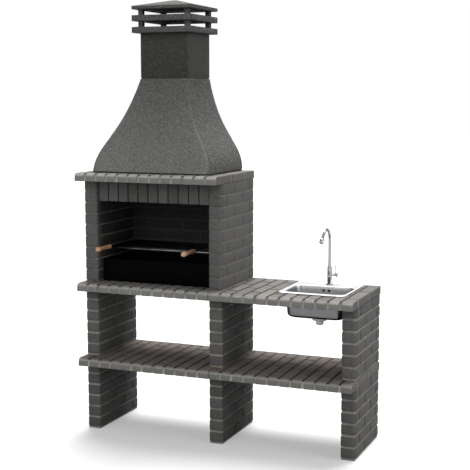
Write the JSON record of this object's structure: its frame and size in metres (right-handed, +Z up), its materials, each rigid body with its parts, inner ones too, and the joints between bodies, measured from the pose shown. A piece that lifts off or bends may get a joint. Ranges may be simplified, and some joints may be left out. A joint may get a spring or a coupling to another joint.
{
  "type": "outdoor masonry barbecue",
  "caption": "Outdoor barbecue with brick-faced piers and shelf, firebox with pull-out grid and ember box, flared hood and capped flue, and a worktop with sink and tap.",
  "frame": {"origin": "on the ground, at the bottom centre of the whole object's bounding box", "axes": "+X to the right seen from the front, +Y to the back, +Z up"},
  "size_m": [1.617, 0.599, 2.449],
  "materials": {
    "brick": "rough dark grey precast brick faces with light mortar joints",
    "hood_concrete": "granular dark grey concrete",
    "flue_concrete": "granular charcoal concrete",
    "mortar": "smooth grey mortar",
    "black_steel": "matt black heat-proof paint",
    "chromed_steel": "bright chromed wire",
    "wood": "varnished turned beech",
    "sink_steel": "satin pressed stainless steel",
    "chrome": "polished chrome",
    "white_plastic": "white waste fitting plastic",
    "rubber": "black seal rubber",
    "brass": "plain turned brass"
  },
  "bodies": {
    "root": {"left_pier_lower": "brick", "left_pier_upper": "brick", "middle_pier_lower": "brick", "middle_pier_upper": "brick", "right_pier_lower": "brick", "right_pier_upper": "brick", "shelf_slab_left": "brick", "shelf_slab_right": "brick", "hearth_slab": "brick", "sink_worktop": "brick", "firebox_left_wall": "brick", "firebox_right_wall": "brick", "firebox_back_wall": "brick", "lintel": "brick", "mantel_slab": "brick", "hood": "hood_concrete", "cap_base_ring": "hood_concrete", "cap_middle_ring": "hood_concrete", "cap_roof": "hood_concrete", "chimney_flue": "flue_concrete", "hood_mortar_bed": "mortar", "flue_mortar_bed": "mortar", "lintel_tie_bar": "black_steel", "grid_support_front": "chromed_steel", "grid_support_rear": "chromed_steel", "sink_bowl": "sink_steel", "strainer_seat": "sink_steel", "tap_base_ring": "chrome", "tap_body": "chrome", "spout_collar": "chrome", "waste_body": "white_plastic", "waste_tail_nut": "white_plastic", "overflow_box": "white_plastic", "overflow_pipe": "white_plastic", "sink_sealant": "rubber", "waste_gasket": "rubber", "tap_washer": "rubber", "tap_nut": "brass", "tap_inlet": "brass"},
    "grid": {"cooking_grid": "chromed_steel", "grid_handle_left": "wood", "grid_handle_right": "wood"},
    "ember_box": {"ember_box": "black_steel"},
    "charcoal_grate": {"charcoal_grate": "black_steel"},
    "strainer": {"basket_strainer": "sink_steel"},
    "spout": {"tap_spout": "chrome", "tap_aerator": "chrome"},
    "lever": {"lever_hub": "chrome", "lever_pin": "chrome"}
  },
  "joints": [
    {"name": "grid_slide", "type": "slide", "parent": "root", "child": "grid", "axis": [0, -1, 0], "range_m": [0, 0.26]},
    {"name": "ember_box_slide", "type": "slide", "parent": "root", "child": "ember_box", "axis": [0, -1, 0], "range_m": [0, 0.3]},
    {"name": "grate_lift", "type": "slide", "parent": "ember_box", "child": "charcoal_grate", "axis": [0, 0, 1], "range_m": [0, 0.1]},
    {"name": "strainer_lift", "type": "slide", "parent": "root", "child": "strainer", "axis": [0, 0, 1], "range_m": [0, 0.14]},
    {"name": "spout_swivel", "type": "hinge", "parent": "root", "child": "spout", "pos_m": [0.5375, 0.1735, 0.9656], "axis": [0, 0, 1], "continuous": true},
    {"name": "lever_turn", "type": "hinge", "parent": "root", "child": "lever", "pos_m": [0.5675, 0.1735, 0.9246], "axis": [1, 0, 0], "range_deg": [0, 90]}
  ]
}
